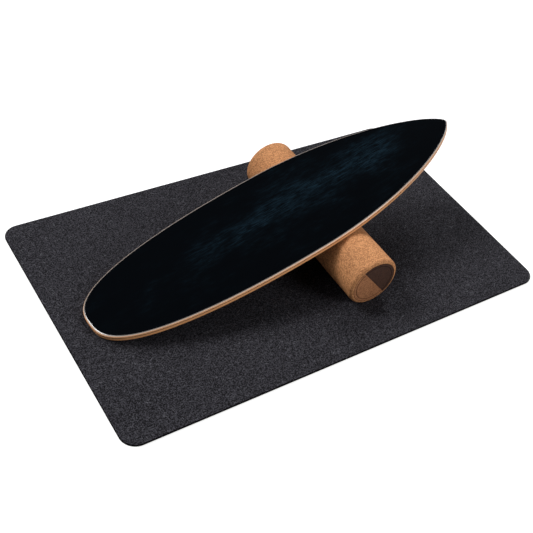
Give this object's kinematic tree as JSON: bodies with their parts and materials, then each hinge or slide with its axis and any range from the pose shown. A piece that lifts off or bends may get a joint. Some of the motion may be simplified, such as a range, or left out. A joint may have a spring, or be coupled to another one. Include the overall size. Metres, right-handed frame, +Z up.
{
  "type": "balance board",
  "caption": "Surfboard-shaped plywood balance deck leaning over a cork roller on a rounded rectangular felt mat.",
  "frame": {"origin": "middle of the mat's underside", "axes": "+X along the mat's long side towards the deck's raised nose, +Y across the mat along the roller, +Z up"},
  "size_m": [0.92, 0.56, 0.1981],
  "materials": {
    "felt": "needle-punched melange felt",
    "mat_rubber": "matt, dimpled",
    "cork": "fine agglomerated cork, sanded",
    "cap_cork": "fine agglomerated cork, sanded",
    "dark_cork": "dark-stained cork",
    "tube_plastic": "matt",
    "rib_wood": "sawn plywood",
    "bottom_face": "lacquered birch veneer",
    "cross_ply": "end-grain birch ply, lacquered",
    "long_ply": "birch ply edge, lacquered",
    "stained_face": "blue-black stained veneer, satin lacquer",
    "stopper_rubber": "matt",
    "screw_steel": "zinc-plated"
  },
  "bodies": {
    "mat": {"mat_felt": "felt", "mat_backing": "mat_rubber"},
    "roller_axis": {"core_tube": "tube_plastic"},
    "roller": {"cork_sleeve": "cork", "front_end_cap": "cap_cork", "back_end_cap": "cap_cork", "front_inlay": "dark_cork", "back_inlay": "dark_cork"},
    "tilt_carrier": {"core_rib": "rib_wood"},
    "deck": {"bottom_veneer": "bottom_face", "core_ply_1": "cross_ply", "core_ply_2": "long_ply", "core_ply_3": "cross_ply", "core_ply_4": "long_ply", "core_ply_5": "cross_ply", "core_ply_6": "long_ply", "core_ply_7": "cross_ply", "top_veneer": "stained_face", "tail_stopper": "stopper_rubber", "nose_stopper": "stopper_rubber", "tail_stopper_screws": "screw_steel", "nose_stopper_screws": "screw_steel"}
  },
  "joints": [
    {"name": "roller_travel", "type": "slide", "parent": "mat", "child": "roller_axis", "axis": [1, 0, 0], "range_m": [-0.05, 0.05]},
    {"name": "roller_spin", "type": "hinge", "parent": "roller_axis", "child": "roller", "pos_m": [0.091, 0.01, 0.0598], "axis": [0, 1, 0], "range_deg": [-53.2, 53.2]},
    {"name": "deck_tilt", "type": "hinge", "parent": "roller_axis", "child": "tilt_carrier", "pos_m": [0.091, 0.01, 0.0598], "axis": [0, 1, 0], "range_deg": [0, 32]},
    {"name": "deck_roll", "type": "slide", "parent": "tilt_carrier", "child": "deck", "axis": [-0.9765, 0, -0.2153], "range_m": [-0.0005, 0.031]}
  ],
  "couplings": [
    {"joint": "roller_spin", "follows": "roller_travel", "rad_per_m": 18.519},
    {"joint": "deck_roll", "follows": "deck_tilt", "m_per_rad": 0.054}
  ]
}
